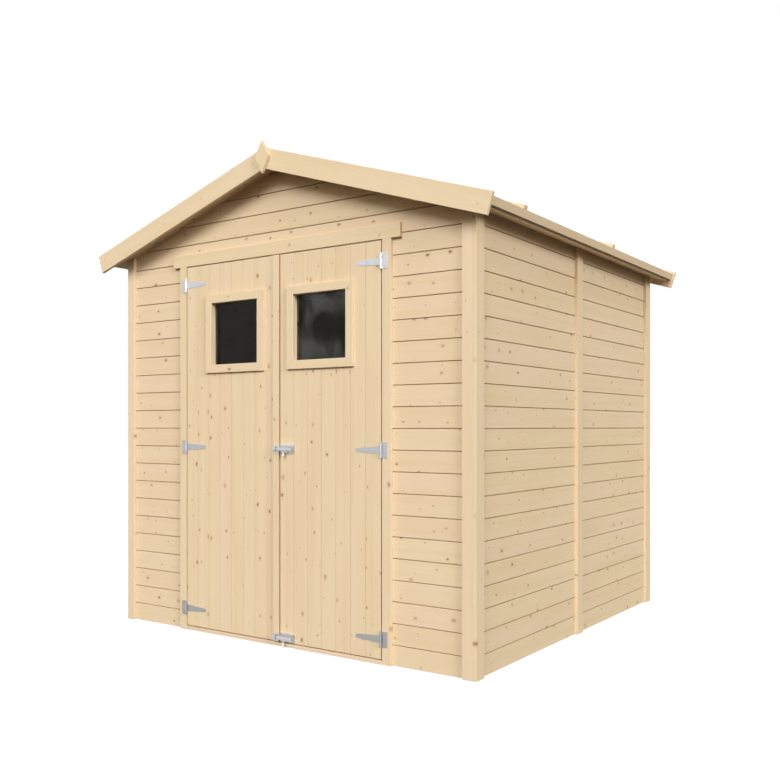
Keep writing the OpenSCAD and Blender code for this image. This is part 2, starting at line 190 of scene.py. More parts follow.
# %% [markdown]
# ## Softwood, as a node group
#
# Planed spruce is pale, with faint streaks along the board, growth lines a few millimetres apart and
# small brown knots that push the lines aside. Each board could be painted by hand, but there are
# hundreds of them. All wooden pieces share one node group instead. It reads a grain coordinate that
# every board carries with it: along the board, across it and through it, in metres. That way the
# grain follows each board whichever way it is laid.

# %% Helpers for node trees


def link(tree, source, target):
    """Joins an output to an input, or sets the input where the source is a plain value."""
    if isinstance(source, bpy.types.NodeSocket):
        tree.links.new(source, target)
    else:
        target.default_value = source


def add_node(tree, kind, inputs=(), **settings):
    node = tree.nodes.new(kind)
    for name, value in settings.items():
        setattr(node, name, value)
    for name, source in dict(inputs).items():
        link(tree, source, node.inputs[name])
    return node


def maths(tree, operation, first, second=0.0):
    node = add_node(tree, "ShaderNodeMath", {0: first, 1: second}, operation=operation)
    return node.outputs[0]


def vector_maths(tree, operation, first, second=(0, 0, 0)):
    node = add_node(tree, "ShaderNodeVectorMath", {0: first, 1: second}, operation=operation)
    return node.outputs["Value" if operation == "LENGTH" else "Vector"]


def remap(tree, value, low, high, to_low=0.0, to_high=1.0):
    """Smoothly turns low..high into to_low..to_high."""
    places = {"Value": value, "From Min": low, "From Max": high, "To Min": to_low, "To Max": to_high}
    node = add_node(tree, "ShaderNodeMapRange", places, interpolation_type="SMOOTHSTEP")
    return node.outputs["Result"]


def blend_colours(tree, factor, first, second):
    node = add_node(tree, "ShaderNodeMix", data_type="RGBA")
    link(tree, factor, node.inputs["Factor"])
    link(tree, first, node.inputs[6])
    link(tree, second, node.inputs[7])
    return node.outputs[2]


def noise(tree, vector, scales, detail):
    stretched = vector_maths(tree, "MULTIPLY", vector, scales)
    node = add_node(tree, "ShaderNodeTexNoise", {"Vector": stretched, "Scale": 1.0, "Detail": detail})
    return node.outputs["Fac"]


def new_group(name, inputs, outputs):
    """A node group with named sockets. Gives the tree, its input node and its output node."""
    tree = bpy.data.node_groups.new(name, "ShaderNodeTree")
    for socket, kind, value in inputs:
        made = tree.interface.new_socket(socket, in_out="INPUT", socket_type=kind)
        if value is not None:
            made.default_value = value
    for socket, kind in outputs:
        tree.interface.new_socket(socket, in_out="OUTPUT", socket_type=kind)
    return tree, tree.nodes.new("NodeGroupInput"), tree.nodes.new("NodeGroupOutput")


FLOAT, COLOUR, VECTOR = "NodeSocketFloat", "NodeSocketColor", "NodeSocketVector"

# %% Colours and measures of softwood
PALE = (0.718, 0.584, 0.38, 1)
ROSY = (0.727, 0.567, 0.394, 1)
HONEY = (0.655, 0.483, 0.27, 1)
AMBER = (0.554, 0.378, 0.199, 1)
KNOT_RIM = (0.46, 0.29, 0.16, 1)
KNOT_HEART = (0.20, 0.11, 0.055, 1)
LIVE_KNOT = (0.52, 0.33, 0.18, 1)
# painted shade for the V joints between boards and for the meeting strip's right-facing side
GROOVE_SHADE = (0.36, 0.225, 0.10, 1)
KNOT_CELLS = (8.5, 13.0)          # cells a metre, along and across: one knot at most in each
KNOT_RADIUS = (0.0016, 0.0042)    # of the smallest, and what the largest has more
KNOT_STRETCH = 0.7                # a knot's width as a share of its length
LINES = (1250.0, 700.0)           # growth lines, in radians a metre across and through a board
LINE_DRIFT = 48.0                 # radians that the growth lines wander by at most

# Cells a metre of each soft pattern: along, across and through a board
DRIFT = (0.9, 5.0, 5.0)
CLOUDS = (1.6, 6.0, 6.0)
STREAKS = (0.8, 34.0, 26.0)
FIBRES = (9.0, 520.0, 520.0)

# How much each mark colours the wood at its strongest; the groove mark is painted shade
SHARES = {"cloud": 0.4, "streak": 0.45, "line": 0.26, "fibre": 0.22, "halo": 0.25, "rim": 0.6,
          "groove": 0.85}

# %% The softwood group: knots
softwood, given, result = new_group(
    "Softwood",
    [("Grain", VECTOR, None), ("Tone", FLOAT, 0.5), ("Painted Shade", FLOAT, 0.0), ("Knots", FLOAT, 0.5),
     ("Figure", FLOAT, 1.0)],
    [("Color", COLOUR), ("Roughness", FLOAT), ("Height", FLOAT)],
)
along_cells, across_cells = KNOT_CELLS
flat = vector_maths(softwood, "MULTIPLY", given.outputs["Grain"], (along_cells, across_cells, 0))
cells = add_node(softwood, "ShaderNodeTexVoronoi", {"Vector": flat, "Scale": 1.0, "Randomness": 0.95},
                 voronoi_dimensions="2D")
offset = vector_maths(softwood, "SUBTRACT", flat, cells.outputs["Position"])
to_metres = (KNOT_STRETCH / along_cells, 1 / across_cells, 0)
from_knot = vector_maths(softwood, "MULTIPLY", offset, to_metres)
chance = add_node(softwood, "ShaderNodeSeparateColor", {"Color": cells.outputs["Color"]})
present = maths(softwood, "LESS_THAN", chance.outputs["Red"], given.outputs["Knots"])
size = maths(softwood, "MULTIPLY", chance.outputs["Green"], chance.outputs["Green"])
radius = maths(softwood, "MULTIPLY_ADD", size, KNOT_RADIUS[1])
radius.node.inputs[2].default_value = KNOT_RADIUS[0]
reach = maths(softwood, "DIVIDE", vector_maths(softwood, "LENGTH", from_knot), radius)
heart = maths(softwood, "MULTIPLY", remap(softwood, reach, 0.4, 1.1, 0.9, 0.0), present)
rim = maths(softwood, "MULTIPLY", remap(softwood, reach, 0.9, 1.7, 1.0, 0.0), present)
halo = maths(softwood, "MULTIPLY", remap(softwood, reach, 1.0, 3.4, 1.0, 0.0), present)
heart_colour = blend_colours(softwood, remap(softwood, chance.outputs["Blue"], 0.35, 0.65),
                             KNOT_HEART, LIVE_KNOT)

# %% The softwood group: growth lines that part round a knot
push = vector_maths(softwood, "SCALE", from_knot)
link(softwood, maths(softwood, "MULTIPLY", halo, -0.75), push.node.inputs["Scale"])
swirled = vector_maths(softwood, "ADD", given.outputs["Grain"], push)
parts = add_node(softwood, "ShaderNodeSeparateXYZ", {"Vector": swirled})
drift = noise(softwood, swirled, DRIFT, detail=1.0)
clouds = noise(softwood, swirled, CLOUDS, detail=2.0)
streaks = noise(softwood, swirled, STREAKS, detail=3.0)
fibres = noise(softwood, swirled, FIBRES, detail=1.0)
phase = maths(softwood, "MULTIPLY", parts.outputs["Y"], LINES[0])
phase = maths(softwood, "ADD", phase, maths(softwood, "MULTIPLY", parts.outputs["Z"], LINES[1]))
phase = maths(softwood, "ADD", phase, maths(softwood, "MULTIPLY", drift, LINE_DRIFT))
wave = maths(softwood, "MULTIPLY_ADD", maths(softwood, "SINE", phase), 0.5)
wave.node.inputs[2].default_value = 0.5
late_wood = maths(softwood, "POWER", wave, 3.0)

# %% The softwood group: colour and relief
figure = given.outputs["Figure"]
colour = blend_colours(softwood, given.outputs["Tone"], PALE, ROSY)
cloud_share = remap(softwood, clouds, 0.35, 0.75, 0.0, SHARES["cloud"])
cloud_share = maths(softwood, "MULTIPLY", cloud_share, figure)
colour = blend_colours(softwood, cloud_share, colour, HONEY)
streak_share = remap(softwood, streaks, 0.42, 0.75, 0.0, SHARES["streak"])
streak_share = maths(softwood, "MULTIPLY", streak_share, figure)
colour = blend_colours(softwood, streak_share, colour, HONEY)
line_share = maths(softwood, "MULTIPLY", late_wood, SHARES["line"])
line_share = maths(softwood, "MULTIPLY", line_share, figure)
colour = blend_colours(softwood, line_share, colour, AMBER)
fibre_share = remap(softwood, fibres, 0.5, 0.85, 0.0, SHARES["fibre"])
colour = blend_colours(softwood, fibre_share, colour, AMBER)
colour = blend_colours(softwood, maths(softwood, "MULTIPLY", halo, SHARES["halo"]), colour, AMBER)
colour = blend_colours(softwood, maths(softwood, "MULTIPLY", rim, SHARES["rim"]), colour, KNOT_RIM)
colour = blend_colours(softwood, heart, colour, heart_colour)
# painted shade: the V joints and the meeting strip's side are darkened towards a brown
groove_shade_share = maths(softwood, "MULTIPLY", given.outputs["Painted Shade"], SHARES["groove"])
colour = blend_colours(softwood, groove_shade_share, colour, GROOVE_SHADE)
link(softwood, colour, result.inputs["Color"])
link(softwood, remap(softwood, streaks, 0.3, 0.8, 0.56, 0.72), result.inputs["Roughness"])
height = maths(softwood, "ADD", maths(softwood, "MULTIPLY", late_wood, 0.5), fibres)
height = maths(softwood, "ADD", height, maths(softwood, "MULTIPLY", rim, -0.6))
link(softwood, height, result.inputs["Height"])
print("softwood group:", len(softwood.nodes), "nodes")

# %% Wooden materials
WOOD_RELIEF = 0.0006              # depth of the grain's bump, in metres


def new_material(name):
    """A new material, its node tree and its main shader."""
    material = bpy.data.materials.new(name)
    material.use_nodes = True
    tree = material.node_tree
    return material, tree, tree.nodes["Principled BSDF"]


def dress(tree, shader, surface, bump, relief):
    """Ties the colour, roughness and height of a group to the main shader."""
    uneven = add_node(tree, "ShaderNodeBump", {"Strength": bump, "Distance": relief,
                                               "Height": surface.outputs["Height"]})
    link(tree, surface.outputs["Color"], shader.inputs["Base Color"])
    link(tree, surface.outputs["Roughness"], shader.inputs["Roughness"])
    link(tree, uneven.outputs["Normal"], shader.inputs["Normal"])


def wood_material(name, knots, figure, bump):
    """Softwood with this share of knots, strength of figure and strength of relief."""
    material, tree, shader = new_material(name)
    shader.inputs["Specular IOR Level"].default_value = 0.25
    grain = add_node(tree, "ShaderNodeAttribute", attribute_name="grain")
    tone = add_node(tree, "ShaderNodeAttribute", attribute_name="tone")
    # the groove attribute carries painted shade for the V joints and the meeting strip's side
    groove = add_node(tree, "ShaderNodeAttribute", attribute_name="groove")
    wood = add_node(tree, "ShaderNodeGroup", node_tree=softwood)
    link(tree, grain.outputs["Vector"], wood.inputs["Grain"])
    link(tree, tone.outputs["Fac"], wood.inputs["Tone"])
    link(tree, groove.outputs["Fac"], wood.inputs["Painted Shade"])
    wood.inputs["Knots"].default_value = knots
    wood.inputs["Figure"].default_value = figure
    dress(tree, shader, wood, bump, WOOD_RELIEF)
    return material


WOODS = {
    "cladding": wood_material("cladding boards", knots=0.72, figure=0.75, bump=0.25),
    "trim": wood_material("planed trim", knots=0.22, figure=0.6, bump=0.2),
    "fascia": wood_material("barge and fascia boards", knots=0.22, figure=0.6, bump=0.2),
    "framing": wood_material("sawn framing", knots=0.55, figure=1.3, bump=0.6),
    "roofing": wood_material("roof boards", knots=0.6, figure=1.2, bump=0.4),
}
print(len(WOODS), "woods")

# %% [markdown]
# ## Grain for a piece
#
# Real grain runs along each length of wood and ends at the saw cut. Object coordinates would carry it
# straight on from one board into the next, so a piece's own grain coordinate is stored in its mesh,
# along the longest side of the wood. Each board starts at its own random place in the grain and has
# its own tone, as neighbouring boards come from different trees.

# %% Store grain and tone
GRAIN_REACH = 60                  # metres of grain within which a board's start is drawn


def store_grain(obj, along, across, through, key):
    """Writes the grain coordinate and the tone of one board into its mesh."""
    luck = random.Random(key)
    start = np.array([luck.uniform(0, GRAIN_REACH) for axis in range(3)])
    mesh = obj.data
    axes = np.array([along, across, through], float)
    points = np.array([v.co for v in mesh.vertices], float)
    corners = np.zeros(len(mesh.loops), np.int32)
    mesh.loops.foreach_get("vertex_index", corners)
    grain = points[corners] @ axes.T + start
    mesh.attributes.new("grain", "FLOAT_VECTOR", "CORNER").data.foreach_set("vector", grain.ravel())
    tone = mesh.attributes.new("tone", "FLOAT", "CORNER")
    tone.data.foreach_set("value", [luck.random()] * len(mesh.loops))


def extent(obj, direction):
    """How far a piece reaches in a direction, from end to end."""
    reach = [v.co.dot(direction) for v in obj.data.vertices]
    return max(reach) - min(reach)


def lie_of(obj):
    """The directions along, across and through a straight length of wood."""
    ways = [Z, X, Y, down_slope(1), down_slope(-1)]
    along = max(ways, key=lambda way: extent(obj, way))
    other = X if along == Y else Y
    across, through = sorted((other, along.cross(other)), key=lambda way: -extent(obj, way))
    return along, across, through


# %% [markdown]
# ## Timbers from the frame
#
# Trims, battens and rafters already have the right shape. A planed edge is never knife sharp,
# though, so each is copied from its solid, its triangles are merged back into clean faces, and a
# bevel eases its edges. A frame round a window is first split along its mitres, so that the grain
# can turn the corner.

# %% Copy and ease a node


def clean_copy(node, name):
    """A copy of a node's mesh with its triangles merged into whole faces."""
    obj = add_object(name, frame["nodes"][node].data.copy())
    edit_all(obj)
    bpy.ops.mesh.remove_doubles(threshold=0.00001)
    bpy.ops.mesh.dissolve_limited(angle_limit=math.radians(0.5))
    back_to_object()
    return obj


def loose_parts(obj):
    """The separate solids of an object, each made an object, in an order that never changes."""
    only(obj)
    bpy.ops.object.mode_set(mode="EDIT")
    bpy.ops.mesh.select_all(action="SELECT")
    bpy.ops.mesh.separate(type="LOOSE")
    back_to_object()
    return sorted(bpy.context.selected_objects, key=lambda part: tuple(part.data.vertices[0].co))


def ease(obj, width, segments=2):
    """Bevels the sharp edges of a piece by this width."""
    apply_modifier(obj, "BEVEL", width=width, segments=segments, limit_method="ANGLE",
                   angle_limit=math.radians(35))
    smooth(obj, 20)


def middle_of(obj):
    corners = np.array([v.co for v in obj.data.vertices], float)
    return Vector((corners.min(0) + corners.max(0)) / 2)


MOST_BOARD_CORNERS = 12           # a piece with no more corners than this is a board, not a ring
SMALLEST_RING = 0.21              # metres across


def is_ring(obj):
    """True for a piece with a hole through it and nothing at its middle, as a window's frame.

    A long board has no corner near its middle either, so the corners are counted as well."""
    middle = middle_of(obj)
    corners = obj.data.vertices
    across = min(extent(obj, way) for way in (X, Z))
    open_middle = all((v.co - middle).xz.length > across / 3 for v in corners)
    return len(corners) > MOST_BOARD_CORNERS and across > SMALLEST_RING and open_middle


def mitred(ring):
    """A square ring sawn along its diagonals into four lengths."""
    middle = middle_of(ring)
    lengths = []
    for turn in range(4):
        part = add_object(ring.name, ring.data.copy())
        for sign in (1, -1):
            angle = math.radians(90 * turn + 45 * sign)
            cut(part, middle, (math.cos(angle) * sign, 0, math.sin(angle) * sign))
        lengths.append(part)
    bpy.data.objects.remove(ring)
    return lengths


def finish_piece(piece, body, slot, *nodes):
    """Ties a finished piece to its body and hides the solids that it stands for. The slot is not used."""
    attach(piece, body)
    if nodes:
        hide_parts(*nodes)


def body_of(node):
    return frame["nodes"][node]["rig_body"]


def slot_of(node):
    entries = frame["record"]["subparts"]
    return next(entry["material_slot"] for entry in entries if entry["node"] == node)


def timber(node, name, width=0.0012):
    """A wooden node as eased lengths of timber, each with its own grain."""
    slot = slot_of(node)
    parts = []
    for part in loose_parts(clean_copy(node, name)):
        parts += mitred(part) if is_ring(part) else [part]
    for index, part in enumerate(parts):
        ease(part, width)
        store_grain(part, *lie_of(part), f"{name} {index}")
        give_material(part, WOODS[slot])
    finish_piece(join(name, parts), body_of(node), slot, node)
    print(name, "-", len(parts), "lengths")


# %% Trims, framing and roof timbers
TIMBERS = {
    "front_corner_boards": "front_corners",
    "left_wall_boards": "left_wall_trims",
    "right_wall_boards": "right_wall_trims",
    "back_wall_boards": "back_wall_trims",
    "door_jambs": "jambs",
    "door_lintel": "lintel",
    "door_sill": "sill",
    "fascia_left": "left_fascia",
    "fascia_right": "right_fascia",
    "barge_front_left": "front_left_barge_board",
    "barge_front_right": "front_right_barge_board",
    "barge_back_left": "back_left_barge_board",
    "barge_back_right": "back_right_barge_board",
    "finial_front": "front_diamond",
    "finial_back": "back_diamond",
    "roof_battens": "battens_on_roof",
    "roof_rafters": "rafters",
    "roof_purlins": "ridge_and_eave_boards",
    "gable_wall_studs": "end_wall_studs",
    "gable_wall_rails": "end_wall_rails",
    "gable_slope_rails": "sloping_rails",
    "side_wall_studs": "side_studs",
    "side_wall_rails": "side_rails",
    "door_left_meeting_strip": "meeting_strip",
    "door_left_inner_frame": "left_ledges_and_beads",
    "door_right_inner_frame": "right_ledges_and_beads",
    "door_left_window_frame": "left_window_frame",
    "door_right_window_frame": "right_window_frame",
}
for node, name in TIMBERS.items():
    timber(node, name)

# %% The meeting strip's right-facing side gets painted shade
# Painted shade: the strip's side that faces right is darkened, through the same attribute as the V
# joints.
STRIP_SIDE_SHADE = 0.7                   # how dark it is, where 1 is the deepest part of a V joint
strip = bpy.data.objects["meeting_strip"]
painted_shade = []
for face in strip.data.polygons:
    painted_shade.extend([STRIP_SIDE_SHADE if face.normal.x > 0.5 else 0.0] * face.loop_total)
strip.data.attributes.new("groove", "FLOAT", "CORNER").data.foreach_set("value", painted_shade)
print("worn corners of the strip:", sum(value > 0 for value in painted_shade), "of", len(painted_shade))

# %% [markdown]
# ## A matchboard
#
# Shed cladding is matchboard: each board has a tongue and a groove out of sight, and the corners of
# its face are planed off, so that two boards meet in a V. One board is modelled from a cube. Its
# face is extruded forward and made narrower, which gives the slanted sides of the V, and the two
# long corners are rounded a little. A wall could be one slab with a pattern of grooves in its bump,
# but then its edges and corners would look flat, so every wall is laid from copies of the board.

# %% Model one board
# The painted shade in a V joint deepens towards the bottom of the V.
GROOVE_SHADE_FADE = 1.4                 # above 1, a V joint is at its darkest before its deepest point
BOARD_SMOOTH = 15                 # degrees: sharper edges of a board stay crisp


def narrow_forward(board, distance, share, height):
    """Extrudes the selected front face forward, and leaves a share of its height."""
    bpy.ops.mesh.extrude_region_move(TRANSFORM_OT_translate={"value": (0, -distance, 0)})
    bpy.ops.transform.resize(value=(1, 1, share), center_override=(0.5, 0, height / 2))


def store_groove_shade(board, depth):
    """Marks painted shade on the V's slanted sides: how deep each corner lies, from 0 at the face to 1.
    """
    mesh = board.data
    values = np.zeros(len(mesh.loops))
    for face in mesh.polygons:
        if face.center.y < depth and abs(face.normal.z) > 0.5 and face.normal.y < 0.1:
            for loop in face.loop_indices:
                corner = mesh.vertices[mesh.loops[loop].vertex_index].co
                values[loop] = min(corner.y / depth * GROOVE_SHADE_FADE, 1.0)
    mesh.attributes.new("groove", "FLOAT", "CORNER").data.foreach_set("value", values)


def model_board(name, height, thickness, groove, slot, rounding):
    """A board 1 m long on X and standing on Z, with its face at Y = 0 and its back behind it.

    The groove and the slot behind it are (width, depth) between two boards."""
    front = groove[1] + slot[1]
    bpy.ops.object.select_all(action="DESELECT")
    bpy.ops.mesh.primitive_cube_add(
        size=1,
        location=(0.5, (front + thickness) / 2, height / 2),
        scale=(1, thickness - front, height),
    )
    board = bpy.context.object
    board.name = name
    bpy.ops.object.transform_apply(location=True, rotation=True, scale=True)
    edit_faces(board, lambda middle, normal: normal.y < -0.9)
    if slot[1]:
        narrow_forward(board, 0, 1 - slot[0] / height, height)
        narrow_forward(board, slot[1], 1, height)
    narrow_forward(board, groove[1], (height - groove[0]) / (height - slot[0]), height)
    back_to_object()
    chosen = []
    for edge in board.data.edges:
        a, b = (board.data.vertices[i].co for i in edge.vertices)
        if max(abs(a.y), abs(b.y)) < 0.0001 and abs(a.x - b.x) > 0.5:
            chosen.append(edge)
    edit_with(board, (False, True, False), chosen)
    bpy.ops.mesh.bevel(offset=rounding, segments=2)
    back_to_object()
    store_groove_shade(board, front)
    smooth(board, BOARD_SMOOTH)
    print(name, len(board.data.polygons), "faces")
    return board


BOARD_PITCH = 0.088
BOARD_SHIFT = 0.004               # the lowest board has this much sawn off its lower edge
wall_board = model_board("wall_board", BOARD_PITCH, side_high.x - side_low.x,
                         groove=(0.0048, 0.0045), slot=(0.0008, 0.002), rounding=0.0006)

# %% Lay boards over a wall


def lay_board(template, corner, inward, across, length, key, name):
    """A copy of the board with its face's lower corner at a point, looking against inward."""
    along = inward.cross(across)
    obj = add_object(name, template.data.copy())
    place = Matrix((along * length, inward, across)).transposed().to_4x4()
    place.translation = corner
    obj.data.transform(place)
    store_grain(obj, along, across, inward, key)
    return obj


def start_corner(low, high, *ways):
    """The corner of a box from which all the ways lead into it."""
    return Vector([low[i] if sum(way[i] for way in ways) > 0 else high[i] for i in range(3)])


def row_foot(row):
    """The height of a board's lower edge, with the rows counted from the ground."""
    return row * BOARD_PITCH - BOARD_SHIFT


def finish_boards(piece, node):
    """Ends a wall, a door leaf or a slope of the roof, in the wood of its slot."""
    smooth(piece, BOARD_SMOOTH)
    give_material(piece, WOODS[slot_of(node)])
    finish_piece(piece, body_of(node), slot_of(node), node)


def clad(node, name, inward, key, cuts):
    """A wall of level boards over the whole box of a node, sawn to its outline."""
    low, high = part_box(node)
    along = inward.cross(Z)
    length = abs((high - low).dot(along))
    corner = start_corner(low, high, inward, along, Z)
    first = math.floor((low.z + BOARD_SHIFT) / BOARD_PITCH)
    last = math.ceil((high.z + BOARD_SHIFT) / BOARD_PITCH)
    boards = []
    for row in range(first, last):
        corner.z = row_foot(row)
        boards.append(lay_board(wall_board, corner, inward, Z, length, f"{key} {row}", name))
    piece = join(name, boards)
    cut(piece, low, -Z)
    if high.z < row_foot(last):
        cut(piece, high, Z)
    for point, normal in cuts:
        cut(piece, point, normal)
    finish_boards(piece, node)
    print(name, "-", len(boards), "boards")


roof_cuts = [(ridge_under, roof_normal(side)) for side in (-1, 1)]
clad("left_wall", "left_cladding", X, "left", roof_cuts)
clad("right_wall", "right_cladding", -X, "right", roof_cuts)
clad("back_wall", "back_cladding", -Y, "back", roof_cuts)
clad("front_wall_left", "front_cladding_left", Y, "front", [])
clad("front_wall_right", "front_cladding_right", Y, "front", [])
clad("front_gable", "gable_cladding", Y, "front", roof_cuts)

# %% [markdown]
# ## Door leaves
#
# A door is clad with upright boards whose joints show only as fine lines. The boards that pass the
# window are sawn out with a Boolean. Cutting the whole leaf at once would be one cut in place of
# several, but a Boolean is safest on a simple closed shape, so it works one board at a time, before
# they are joined into one leaf.

# %% Lay the door boards
SAW_DEPTH = 0.2                   # deep enough to pass right through a leaf


def window_hole(window_frame):
    """A block that fills the opening inside a window's frame, from its innermost corners."""
    low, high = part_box(window_frame)
    middle = (low + high) / 2
    corners = frame["nodes"][window_frame].data.vertices
    border = (high.x - low.x) / 2 - min(abs(v.co.x - middle.x) for v in corners)
    bpy.ops.object.select_all(action="DESELECT")
    size = (high.x - low.x - 2 * border, SAW_DEPTH, high.z - low.z - 2 * border)
    bpy.ops.mesh.primitive_cube_add(size=1, location=middle, scale=size)
    print("opening", [round(side, 3) for side in size[::2]], "inside", window_frame)
    return bpy.context.object


def door_leaf(node, window_frame, name, key, count):
    """A leaf of upright boards, sawn out for its window."""
    low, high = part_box(node)
    pitch = (high.x - low.x) / count
    template = model_board("door_board", pitch, high.y - low.y,
                           groove=(0.0016, 0.0014), slot=(0, 0), rounding=0.0003)
    hole = window_hole(window_frame)
    half_width = hole.dimensions.x / 2
    boards = []
    for index in range(count):
        corner = Vector((high.x - index * pitch, low.y, low.z))
        board = lay_board(template, corner, Y, -X, high.z - low.z, f"{key} {index}", name)
        if corner.x > hole.location.x - half_width and corner.x - pitch < hole.location.x + half_width:
            apply_modifier(board, "BOOLEAN", operation="DIFFERENCE", object=hole, solver="EXACT")
        boards.append(board)
    for helper in (hole, template):
        bpy.data.objects.remove(helper)
    finish_boards(join(name, boards), node)
    print(name, "-", count, "boards of", round(pitch * 1000, 1), "mm")


door_leaf("door_left_leaf", "door_left_window_frame", "left_leaf", "left door", 8)
door_leaf("door_right_leaf", "door_right_window_frame", "right_leaf", "right door", 7)

# %% [markdown]
# ## Roof boards
#
# The roof is boarded too. From below the same V joints show, and on top the boards lie flat. They
# run from the front to the back, and the two slopes meet in an upright saw cut at the ridge.

# %% Board the two slopes
AT_RIDGE = 0.0005                 # a corner this near the middle plane lies at the ridge


def board_roof(side, node, name):
    """One slope, boarded from the ridge down to the eave."""
    low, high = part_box(node)
    upward, downhill = roof_normal(side), down_slope(side)
    corners = [v.co for v in frame["nodes"][node].data.vertices]
    eave = max(corner.dot(downhill) for corner in corners)
    ridge_top = max(corner.z for corner in corners if abs(corner.x) < AT_RIDGE)
    thickness = wall_board.dimensions.y
    start = Vector((0, 0, ridge_top)) - upward * thickness - downhill * BOARD_SHIFT * 2
    start.y = low.y if upward.cross(downhill).y > 0 else high.y
    count = math.ceil((eave - start.dot(downhill)) / BOARD_PITCH)
    boards = []
    for row in range(count):
        corner = start + downhill * BOARD_PITCH * row
        boards.append(lay_board(wall_board, corner, upward, downhill, high.y - low.y,
                                f"{name} {row}", name))
    piece = join(name, boards)
    cut(piece, (0, 0, 0), (-side, 0, 0))
    cut(piece, downhill * eave, downhill)
    finish_boards(piece, node)
    print(name, "-", count, "boards")


board_roof(-1, "roof_deck_left", "left_roof_boards")
board_roof(1, "roof_deck_right", "right_roof_boards")
bpy.data.objects.remove(wall_board)

# %% [markdown]
# ## Zinc
#
# Hinges and bolts are zinc plated steel: pale grey, a little mottled, and a darker grey towards the
# bottom.
# One grey with an even gloss would look like plastic. The mottling comes from small cells of zinc
# and a soft haze over them, and the roughness follows the haze.

# %% The zinc group and its material
ZINC_PALE = (0.60, 0.60, 0.63, 1)
ZINC_GREY = (0.51, 0.52, 0.54, 1)
ZINC_DULL = (0.30, 0.295, 0.285, 1)
FLAKES = 140.0                    # cells of zinc a metre
HAZE = (60.0, 60.0, 60.0)
DULL_HEIGHTS = (0.1, 1.7)               # heights between which the dullness fades away
ZINC_RELIEF = 0.0004              # depth of its bump, in metres
zinc_group, given, result = new_group(
    "Zinc", [("Vector", VECTOR, None), ("Dullness", FLOAT, 0.0)],
    [("Color", COLOUR), ("Roughness", FLOAT), ("Height", FLOAT)],
)
flakes = add_node(zinc_group, "ShaderNodeTexVoronoi",
                  {"Vector": given.outputs["Vector"], "Scale": FLAKES})
flake = add_node(zinc_group, "ShaderNodeSeparateColor", {"Color": flakes.outputs["Color"]})
haze = noise(zinc_group, given.outputs["Vector"], HAZE, detail=3.0)
mottle = maths(zinc_group, "MULTIPLY", flake.outputs["Red"], haze)
bright = blend_colours(zinc_group, mottle, ZINC_PALE, ZINC_GREY)
dulled = blend_colours(zinc_group, given.outputs["Dullness"], bright, ZINC_DULL)
link(zinc_group, dulled, result.inputs["Color"])
link(zinc_group, remap(zinc_group, haze, 0.3, 0.7, 0.30, 0.46), result.inputs["Roughness"])
link(zinc_group, haze, result.inputs["Height"])


def zinc_material(name, dull_at_foot):
    """Plated steel, with this much dullness at the ground and none at the top of the doors."""
    material, tree, shader = new_material(name)
    shader.inputs["Metallic"].default_value = 0.9
    place = add_node(tree, "ShaderNodeTexCoord")
    plating = add_node(tree, "ShaderNodeGroup", node_tree=zinc_group)
    link(tree, place.outputs["Object"], plating.inputs["Vector"])
    above = add_node(tree, "ShaderNodeSeparateXYZ", {"Vector": place.outputs["Object"]})
    dullness = remap(tree, above.outputs["Z"], *DULL_HEIGHTS, dull_at_foot, 0.0)
    link(tree, dullness, plating.inputs["Dullness"])
    dress(tree, shader, plating, 0.15, ZINC_RELIEF)
    return material


zinc = zinc_material("zinc plated steel", dull_at_foot=0.8)
bolt_zinc = zinc_material("zinc plated bolts", dull_at_foot=0.1)
print("zinc group:", len(zinc_group.nodes), "nodes")

# %% Hinges and bolts
METAL_EDGE = 0.0004               # width of the bevel along the edges of the metal


def metalwork(node, name, material):
    """A metal node with its edges eased, in zinc."""
    piece = clean_copy(node, name)
    ease(piece, METAL_EDGE, segments=1)
    give_material(piece, material)
    finish_piece(piece, body_of(node), slot_of(node), node)


METALWORK = {
    "hinge_plates": ("plates_on_jambs", zinc),
    "door_left_hinge_straps": ("left_straps", zinc),
    "door_right_hinge_straps": ("right_straps", zinc),
    "door_left_keepers": ("bolt_keepers", bolt_zinc),
    "door_right_bolt_housings": ("bolt_housings", bolt_zinc),
    "bolt_upper": ("upper_bolt", bolt_zinc),
    "bolt_lower": ("lower_bolt", bolt_zinc),
}
for node, (name, material) in METALWORK.items():
    metalwork(node, name, material)
print(len(METALWORK), "pieces of metalwork")

# %% [markdown]
# ## Screws
#
# Each strap, plate and housing is held by screws with a low domed head and a cross in it. One head
# is modelled: a disc with a bevelled rim, from which two thin bars are cut. A cross drawn by a
# material would be flat when seen from the side. The head is then copied to every hole, a little
# turned each time, as real screws are.

# %% Model one screw head
HEAD_RADIUS = 0.0036
HEAD_HEIGHT = 0.0012
CROSS = (1.3, 0.28)               # length and width of the cross's bars, in radii of the head


